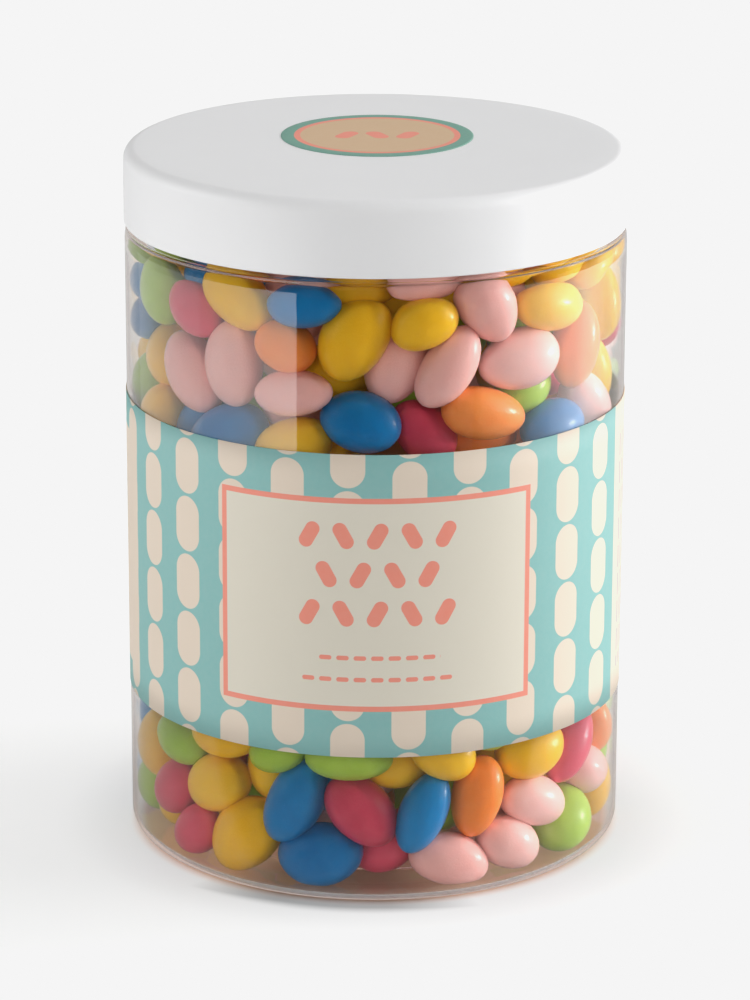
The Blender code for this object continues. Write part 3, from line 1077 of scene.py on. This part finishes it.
    def balls(self, size: np.ndarray) -> tuple[np.ndarray, np.ndarray]:
        """Stands three balls in for each bean: a middle one and one towards each end.

        Args:
            size: Length, width and thickness of each bean.

        Returns:
            How far each ball lies along the axis, and its radius.
        """
        end = 0.41 * size[:, 1]
        reach = size[:, 0] / 2 - end
        along = np.stack([-reach, np.zeros(len(size)), reach], axis=1)
        radius = np.stack([end, 0.25 * (size[:, 1] + size[:, 2]), end], axis=1)
        return along, radius

    def settle(self, place: np.ndarray, axis: np.ndarray, size: np.ndarray,
               held: np.ndarray) -> tuple[np.ndarray, np.ndarray]:
        """Presses beans apart and back into the jar, in a fixed number of sweeps that leaves small overlaps.

        In each sweep every pair of overlapping balls is moved apart along the line between them, and every
        ball outside the room is moved back in. A bean moves by the mean of its balls' moves and turns by
        the difference between its ends. Beans next to the wall drift outwards. Listed beans are heavier
        and go back to their places, firmly along the wall and loosely towards or away from it.

        Args:
            place: Starting middles.
            axis: Starting unit axes.
            size: Length, width and thickness of each bean.
            held: Which beans come from the lists of the two windows.

        Returns:
            Middles and unit axes at rest.
        """
        along, radius = self.balls(size)
        ease = np.where(held, self.held_weight, 1.0)
        home, home_axis = place.copy(), axis.copy()
        outward = home * [1, 1, 0] / np.linalg.norm(home[:, :2], axis=1)[:, None]
        drift = np.where(np.linalg.norm(home[:, :2], axis=1) > self.layers[0] - 2.5 * MM, self.outward_drift, 0.0)
        near_i = near_j = np.zeros(0, int)
        for sweep in range(self.sweeps):
            if sweep % 12 == 0:
                near_i, near_j = self.neighbours(place, size)
            ball = place[:, None] + axis[:, None] * along[:, :, None]
            apart = ball[near_i][:, :, None] - ball[near_j][:, None]
            distance = np.linalg.norm(apart, axis=3) + 1e-9
            depth = np.maximum(radius[near_i][:, :, None] + radius[near_j][:, None] - distance, 0.0)
            push = apart / distance[..., None] * depth[..., None]
            share = (ease[near_i] / (ease[near_i] + ease[near_j]))[:, None, None]
            move = np.zeros_like(ball)
            np.add.at(move, near_i, push.sum(axis=2) * share)
            np.add.at(move, near_j, -push.sum(axis=1) * (1 - share))
            move = move * self.push + self.keep_in(ball, radius)
            place = place + move.mean(axis=1) * 1.5 + drift[:, None] * outward
            twist = (move[:, 2] - move[:, 0]) / (2 * along[:, 2:])
            axis = axis + 0.8 * twist
            pull = held[:, None] * (self.hold if sweep < self.sweeps - 60 else self.last_hold)
            away = home - place
            radial = (away * outward).sum(axis=1)[:, None] * outward
            place = place + pull * (away - radial + self.radial_hold * radial)
            axis = axis + pull * (home_axis - axis)
            axis = axis / np.linalg.norm(axis, axis=1)[:, None]
        log.info("deepest overlap of stand-in balls after settling: %.2f mm, mean %.3f mm",
                 depth.max() / MM, depth[depth > 0].mean() / MM)
        return place, axis

    def neighbours(self, place: np.ndarray, size: np.ndarray) -> tuple[np.ndarray, np.ndarray]:
        """Gives the pairs of beans that lie close enough to touch soon."""
        distance = np.linalg.norm(place[:, None] - place[None], axis=2)
        close = distance < (size[:, None, 0] + size[None, :, 0]) / 2 + 3 * MM
        return np.nonzero(np.triu(close, 1))

    def keep_in(self, ball: np.ndarray, radius: np.ndarray) -> np.ndarray:
        """Gives the moves that bring balls back inside the wall, off the floor and ceiling and out of the core."""
        move = np.zeros_like(ball)
        across = np.linalg.norm(ball[..., :2], axis=2) + 1e-9
        outward = ball[..., :2] / across[..., None]
        over = np.maximum(across + radius - self.jar.room_radius(ball[..., 2]), 0.0)
        beside = (ball[..., 2] > self.core_span[0]) & (ball[..., 2] < self.core_span[1])
        under = np.where(beside, np.maximum(self.core_radius + radius - across, 0.0), 0.0)
        move[..., :2] = outward * (0.5 * under - over)[..., None]
        move[..., 2] = (np.maximum(self.floor_z(across) + radius - ball[..., 2], 0.0)
                        - np.maximum(ball[..., 2] + radius - self.ceiling_z, 0.0))
        return move

    def floor_z(self, across: np.ndarray) -> np.ndarray:
        """Gives the height that a bean can sink to at a distance from the axis."""
        return self.jar.base_thickness + self.jar.rise(across) + 0.05 * MM

    def stand(self, place: np.ndarray, axis: np.ndarray, size: np.ndarray,
              rng: np.random.Generator) -> np.ndarray:
        """Shapes every bean's cage and puts it in place.

        A bean is turned about its long axis so that its thin way faces the wall, give or take a little, and
        one that would still reach into the wall is moved in by as much.

        Args:
            place: Middles of the beans.
            axis: Their unit axes.
            size: Length, width and thickness of each bean.
            rng: Source of the unevenness.

        Returns:
            Cage points for each bean.
        """
        shape = self.shape.surface(size, rng)
        outward = place * [1, 1, 0] + rng.normal(0.0, 6 * MM, place.shape)
        side = np.cross(outward, axis)
        side /= np.linalg.norm(side, axis=1)[:, None]
        side *= rng.choice([-1.0, 1.0], len(side))[:, None]
        third = np.cross(axis, side)
        frames = np.stack([axis, side, third], axis=1)
        cages = np.einsum("nij,njk->nik", shape, frames) + place[:, None]
        skin = np.einsum("nij,njk->nik", shape / 1.2, frames) + place[:, None]
        across = np.linalg.norm(skin[..., :2], axis=2)
        over = across - self.jar.room_radius(skin[..., 2])
        inward = place * [1, 1, 0] / np.linalg.norm(place[:, :2], axis=1)[:, None]
        sunk = np.maximum((self.floor_z(across) - skin[..., 2]).max(axis=1), 0.0)
        shift = -inward * np.maximum(over.max(axis=1), 0.0)[:, None] + sunk[:, None] * [0, 0, 1]
        return cages + shift[:, None]

    def core(self) -> bpy.types.Object:
        """Makes the core: a round-ended column whose radius swells and dips like the beans on it. Its colour is painted
        shade that stands in for the heap's shaded middle.
        """
        low, high = self.core_span
        across = 0.86 * self.core_radius
        height = np.linspace(low, high, 44)
        end = np.clip(np.minimum(height - low, high - height) / across, 0.0, 1.0)
        radius = across * np.sqrt(1 - (1 - end) ** 2)
        profile = np.stack([radius, height], axis=1)[::-1]
        points, faces = turned(profile, 72)
        turn = np.arctan2(points[:, 1], points[:, 0])
        swell = 1 + 0.10 * np.sin(5 * turn + 90 * points[:, 2]) * np.cos(260 * points[:, 2])
        points[:, :2] *= swell[:, None]
        return new_piece("heap_core", points, faces, PaintedHeapShade().material(), "jelly_beans")


# ------------------------------------------------------------------ studio


@dataclass(frozen=True)
class SoftSun:
    """A very large soft light far away, so that it falls evenly on the floor.

    The azimuth is in degrees from the jar's front, positive to the right. Spread is its width in degrees.
    It has one strength for all that stands outside and another for the sweets behind the clear wall.
    A light that isn't mirrored makes no highlights, and one that casts no shadows fills the gaps.
    """

    name: str
    azimuth: float
    elevation: float
    spread: float
    outside: float
    inside: float
    mirrored: bool = True
    shadows: bool = True
    colour: Colour = (1.0, 1.0, 1.0)


@dataclass(frozen=True)
class Card:
    """A bright upright card, bent round the jar, that shows only in reflections.

    Its brightness is given at a few azimuths and changes evenly between them.
    """

    name: str
    levels: tuple[tuple[float, float], ...]
    reach: float
    top: float


@dataclass
class Studio:
    """Pale floor, soft lights and the camera, which looks a little down on the jar."""

    camera_distance: float = 0.7690
    camera_height: float = 0.3016
    camera_down: float = 17.275
    camera_roll: float = 0.177
    lens: float = 155.15
    backdrop: float = 0.913
    room: float = 0.30
    dark_room: float = 0.03
    pale_room: float = 0.50
    floor_albedo: float = 0.66
    floor_seen: float = 0.41
    floor_glow: float = 0.60
    floor_gap: float = 0.03 * MM
    floor_rings: tuple[float, ...] = (0.0, 0.4, 1.5, 6.0)
    # Painted shade and painted tint on the floor under the jar, standing in for the heap's shadow and light coloured by
    # the sweets.
    under_span: tuple[float, float] = (0.0435, 0.0466)
    # Painted contact shadow on the floor's own glow near the jar's foot, darkest in front.
    contact: float = 0.84
    contact_span: tuple[float, float] = (0.045, 0.062)
    foot_span: tuple[float, float] = (0.0455, 0.0505)
    foot_way: tuple[float, float] = (-0.17, -0.985)
    foot_turn: tuple[float, float] = (0.84, 0.975)
    foot_light: float = 0.25
    mirror_front: tuple[float, float] = (-0.34, -0.25)
    mirror_back: tuple[float, float] = (-0.052, -0.046)
    mirror_greys: tuple[float, float] = (0.22, 0.65)
    bounce: float = 0.35
    # Glow and colour of the painted tint and shade under the jar.
    under_glow: Colour = (0.36, 0.215, 0.145)
    under_jar_painted_tint: Colour = (0.46, 0.29, 0.21)
    suns: tuple[SoftSun, ...] = (
        SoftSun("right", 95.0, 18.0, 50.0, 3.15, 4.0),
        SoftSun("back_right", 140.0, 18.0, 40.0, 0.45, 1.3),
        SoftSun("left", -85.0, 10.0, 60.0, 1.82, 1.2),
        SoftSun("front", 0.0, 5.0, 80.0, 0.58, 1.8, mirrored=False),
        SoftSun("fill", 15.0, 10.0, 90.0, 0.0, 1.70, mirrored=False, shadows=False, colour=(1.0, 0.90, 0.80)),
        SoftSun("spark", 100.0, 4.0, 11.0, 0.0, 1.9),
        SoftSun("above", 0.0, 80.0, 90.0, 0.18, 0.0, mirrored=False),
    )
    cards: tuple[Card, ...] = (
        Card("left_card", ((-126.0, 0.9), (-100.0, 1.4), (-75.0, 1.7), (-50.0, 2.9), (-31.7, 3.6)), 0.20, 0.085),
        Card("right_card", ((40.0, 0.0), (60.0, 1.0), (71.0, 2.1), (85.0, 3.2), (100.0, 3.7), (119.0, 1.1),
                            (127.0, 0.7)), 0.20, 0.085),
    )

    def build(self, clear_piece: bpy.types.Object, sweets: list[bpy.types.Object]) -> None:
        """Makes the whole studio.

        Args:
            clear_piece: The clear piece, on which the large lights make no highlights. Only the cards do.
            sweets: The pieces behind the clear wall.
        """
        self.exposure()
        self.world()
        self.floor()
        outside = self.receivers("outside", [clear_piece, *sweets], "EXCLUDE")
        inside = self.receivers("inside", sweets, "INCLUDE")
        for sun in self.suns:
            for strength, receivers in ((sun.outside, outside), (sun.inside, inside)):
                if strength > 0:
                    self.hang(sun, strength).light_linking.receiver_collection = receivers
        for card in self.cards:
            self.stand(card)
        self.camera()

    def receivers(self, name: str, pieces: list[bpy.types.Object], state: str) -> bpy.types.Collection:
        """Makes a collection that lets a lamp light only some pieces, or all but them.

        Args:
            name: Name of the collection.
            pieces: The pieces.
            state: INCLUDE for only these, EXCLUDE for all but these.

        Returns:
            The collection.
        """
        collection = bpy.data.collections.new(name)
        for piece in pieces:
            collection.objects.link(piece)
        for member in collection.collection_objects:
            member.light_linking.link_state = state
        return collection

    def exposure(self) -> None:
        """Sets plain colours and holds everything brighter than the backdrop at the backdrop's brightness."""
        view = bpy.context.scene.view_settings
        view.view_transform = "Standard"
        view.use_curve_mapping = True
        mapping = view.curve_mapping
        mapping.extend = "HORIZONTAL"
        points = mapping.curves[3].points
        points[-1].location = (self.backdrop, self.backdrop)
        points.new(1.0, self.backdrop)
        for point in points:
            point.handle_type = "VECTOR"
        mapping.update()

    def seen(self, wiring: Wiring) -> tuple[bpy.types.NodeSocket, bpy.types.NodeSocket]:
        """Gives two masks: rays from the camera, also through the jar, and rays that a glossy surface sends out.

        Rays that have met a dull surface belong to neither.
        """
        path = wiring.add("ShaderNodeLightPath")
        straight = wiring.math("MAXIMUM", path.outputs["Is Camera Ray"], path.outputs["Is Transmission Ray"])
        unlit = wiring.math("LESS_THAN", path.outputs["Diffuse Depth"], 0.5)
        mirrored = wiring.math("MULTIPLY", wiring.math("GREATER_THAN", path.outputs["Glossy Depth"], 0.5), unlit)
        direct = wiring.math("MULTIPLY", straight, unlit)
        return wiring.math("MULTIPLY", direct, wiring.math("SUBTRACT", 1.0, mirrored)), mirrored

    def behind(self, wiring: Wiring, place: object, start: float, end: float) -> bpy.types.NodeSocket:
        """Gives a mask that rises from 0 to 1 as Y goes from start to end."""
        _, depth, _ = wiring.split(place)
        return wiring.add("ShaderNodeMapRange", {0: depth, 1: start, 2: end}).outputs[0]

    def world(self) -> None:
        """Makes the surroundings: pale to look at, middling as a source of light, and dark in front in reflections."""
        world = bpy.data.worlds.new("studio")
        bpy.context.scene.world = world
        world.use_nodes = True
        wiring = Wiring(world.node_tree)
        direct, glossy = self.seen(wiring)
        way = wiring.add("ShaderNodeTexCoord").outputs["Generated"]
        mirrored = wiring.mix(self.behind(wiring, way, 0.30, 0.55), self.grey(self.dark_room),
                              self.grey(self.pale_room))
        unseen = wiring.mix(glossy, self.grey(self.room), mirrored)
        wiring.feed(world.node_tree.nodes["Background"].inputs["Color"],
                    wiring.mix(direct, unseen, self.grey(self.backdrop)))

    def grey(self, level: float) -> tuple[float, float, float, float]:
        """Gives an opaque grey."""
        return (level, level, level, 1.0)

    def ramp(self, wiring: Wiring, value: object, span: tuple[float, float], least: float = 0.0,
             most: float = 1.0, soft: bool = False) -> bpy.types.NodeSocket:
        """Gives a number that goes from least to most as a value crosses a span.

        Args:
            wiring: The material's wiring.
            value: The value.
            span: Where the change starts and ends.
            least: The number before the span.
            most: The number after it.
            soft: Whether the change starts and ends gently.

        Returns:
            The number.
        """
        kind = "SMOOTHSTEP" if soft else "LINEAR"
        return wiring.add("ShaderNodeMapRange", {0: value, 1: span[0], 2: span[1], 3: least, 4: most},
                          interpolation_type=kind).outputs[0]

    def floor(self) -> None:
        """Makes the floor as a wide disc, which stands on its own and isn't part of the object.

        Part of its brightness is its own glow, so that shadows stay faint, and near the jar's foot that glow carries a
        painted contact shadow. Under the jar it has painted shade and a painted tint, darker and brownish, that stand
        in for light coloured by the sweets.
        """
        points, faces = turned(np.array([[r, -self.floor_gap] for r in self.floor_rings]), 64)
        material, wiring, shader = new_material("floor")
        direct, glossy = self.seen(wiring)
        unseen = wiring.math("SUBTRACT", wiring.math("SUBTRACT", 1.0, direct), glossy)
        place = wiring.add("ShaderNodeTexCoord").outputs["Object"]
        x, y, _ = wiring.split(place)
        away = wiring.math("SQRT", wiring.math("ADD", wiring.math("MULTIPLY", x, x), wiring.math("MULTIPLY", y, y)))
        # Painted shade and tint under the jar: a darker, brownish colour and glow inside under_span.
        beside = self.ramp(wiring, away, self.under_span)
        albedo = wiring.mix(beside, (*self.under_jar_painted_tint, 1.0), self.grey(self.floor_albedo))
        albedo = wiring.mix(wiring.math("MULTIPLY", direct, beside), albedo, self.grey(self.floor_seen))
        wiring.feed(shader.inputs["Base Color"], wiring.mix(glossy, albedo, self.mirrored_floor(wiring, place)))
        shader.inputs["Roughness"].default_value = 1.0
        shader.inputs["Specular IOR Level"].default_value = 0.0
        wiring.feed(shader.inputs["Emission Color"],
                    wiring.mix(beside, (*self.under_glow, 1.0), self.grey(self.floor_glow)))
        # Painted contact shadow: the floor's own glow is dimmed near the jar's foot, most of all in front.
        own = wiring.math("MULTIPLY", direct, self.painted_contact_shadow(wiring, x, y, away))
        wiring.feed(shader.inputs["Emission Strength"], wiring.math("MULTIPLY_ADD", unseen, self.bounce, own))
        material.cycles.emission_sampling = "NONE"
        mesh = bpy.data.meshes.new("floor")
        mesh.from_pydata(points.tolist(), [], faces)
        mesh.materials.append(material)
        ground = bpy.data.objects.new("floor", mesh)
        bpy.context.scene.collection.objects.link(ground)

    def mirrored_floor(self, wiring: Wiring, place: object) -> bpy.types.NodeSocket:
        """Gives the floor's colour in reflections: dark in front, middling nearer, pale beside and behind the jar."""
        front, back = self.mirror_greys
        colour = wiring.mix(self.behind(wiring, place, *self.mirror_front), self.grey(self.dark_room), self.grey(front))
        return wiring.mix(self.behind(wiring, place, *self.mirror_back), colour, self.grey(back))

    def painted_contact_shadow(self, wiring: Wiring, x: object, y: object, away: object) -> bpy.types.NodeSocket:
        """Gives the painted contact shadow on the floor's own glow: a little shade near the jar, and much more at its
        foot in front.

        Args:
            wiring: The material's wiring.
            x: Place along X.
            y: Place along Y.
            away: Distance from the jar's axis.

        Returns:
            A number from 0 for fully shaded to 1 for open.
        """
        clear = self.ramp(wiring, away, self.contact_span, self.contact, 1.0, soft=True)
        ahead = wiring.math("ADD", wiring.math("MULTIPLY", y, self.foot_way[1]),
                            wiring.math("MULTIPLY", x, self.foot_way[0]))
        side = self.ramp(wiring, wiring.math("DIVIDE", ahead, away), self.foot_turn, 1.0, self.foot_light)
        near = self.ramp(wiring, away, self.foot_span, soft=True)
        return wiring.math("MULTIPLY", clear, wiring.math("MAXIMUM", near, side))

    def hang(self, sun: SoftSun, strength: float) -> bpy.types.Object:
        """Hangs one far light of some strength, which shines towards the jar."""
        data = bpy.data.lights.new(sun.name, "SUN")
        data.energy = strength
        data.color = sun.colour
        data.use_shadow = sun.shadows
        data.angle = math.radians(sun.spread)
        lamp = bpy.data.objects.new(sun.name, data)
        lamp.rotation_euler = (math.radians(90.0 - sun.elevation), 0.0, math.radians(sun.azimuth))
        lamp.visible_glossy = sun.mirrored
        bpy.context.scene.collection.objects.link(lamp)
        return lamp

    def stand(self, card: Card) -> None:
        """Stands one card on the floor, as a strip of upright quads with a brightness at each point."""
        known, level = np.array(card.levels).T
        turn = np.linspace(known[0], known[-1], 33)
        foot = card.reach * np.stack([np.sin(np.radians(turn)), -np.cos(np.radians(turn))], axis=1)
        points = np.array([[x, y, z] for z in (card.top, 0.0) for x, y in foot])
        mesh = bpy.data.meshes.new(card.name)
        mesh.from_pydata(points.tolist(), [], quad_rows(2, len(turn), closed=False).tolist())
        layer = mesh.attributes.new("level", "FLOAT", "POINT")
        layer.data.foreach_set("value", np.tile(np.interp(turn, known, level), 2).astype(np.float32))
        material, wiring, shader = new_material(card.name)
        shader.inputs["Base Color"].default_value = (0.0, 0.0, 0.0, 1.0)
        shader.inputs["Specular IOR Level"].default_value = 0.0
        shader.inputs["Emission Color"].default_value = (1.0, 1.0, 1.0, 1.0)
        wiring.feed(shader.inputs["Emission Strength"],
                    wiring.add("ShaderNodeAttribute", attribute_name="level").outputs["Fac"])
        material.cycles.emission_sampling = "NONE"
        mesh.materials.append(material)
        strip = bpy.data.objects.new(card.name, mesh)
        strip.visible_camera = False
        strip.visible_diffuse = False
        strip.visible_transmission = False
        strip.visible_shadow = False
        bpy.context.scene.collection.objects.link(strip)

    def camera(self) -> None:
        """Places the camera in front of the jar, looking down and rolled a little about its own axis."""
        data = bpy.data.cameras.new("camera")
        data.lens = self.lens
        data.sensor_width = 36.0
        data.clip_start, data.clip_end = 0.01, 20.0
        camera = bpy.data.objects.new("camera", data)
        camera.location = (0.0, -self.camera_distance, self.camera_height)
        tip, roll = math.radians(90.0 - self.camera_down), math.radians(self.camera_roll)
        camera.rotation_mode = "QUATERNION"
        camera.rotation_quaternion = Quaternion((1, 0, 0), tip) @ Quaternion((0, 0, 1), roll)
        bpy.context.scene.collection.objects.link(camera)
        bpy.context.scene.camera = camera


# ------------------------------------------------------------------ the whole object


def main() -> None:
    """Builds the studio and every piece, sized from the CAD parts' boxes."""
    logging.basicConfig(level=logging.INFO, format="%(name)s: %(message)s")
    inks = Inks()
    jar_box, lid_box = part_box("jar"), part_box("lid")
    label_box, sticker_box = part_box("label"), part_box("lid_sticker")
    lid = ScrewLid(radius=lid_box[1].x, top=lid_box[1].z, rim=lid_box[0].z)
    jar = ClearJar(radius=jar_box[1].x, neck_top=jar_box[1].z, shoulder_top=lid.rim - 0.3 * MM)
    clear_jar = jar.build()
    lid.build()
    PaperSleeve(jar.radius, label_box[0].z, label_box[1].z, inks).build()
    sticker_radius = (sticker_box[1].x - sticker_box[0].x) / 2
    sticker_middle = tuple((low + high) / 2 for low, high in zip(sticker_box[0], sticker_box[1]))[:2]
    LidSticker(sticker_radius, sticker_middle, lid.top, inks).build()
    sweets = BeanHeap(jar, ceiling_z=lid.top - lid.top_thickness - 1.5 * MM).build()
    Studio().build(clear_jar, sweets)


if __name__ == "__main__":
    main()
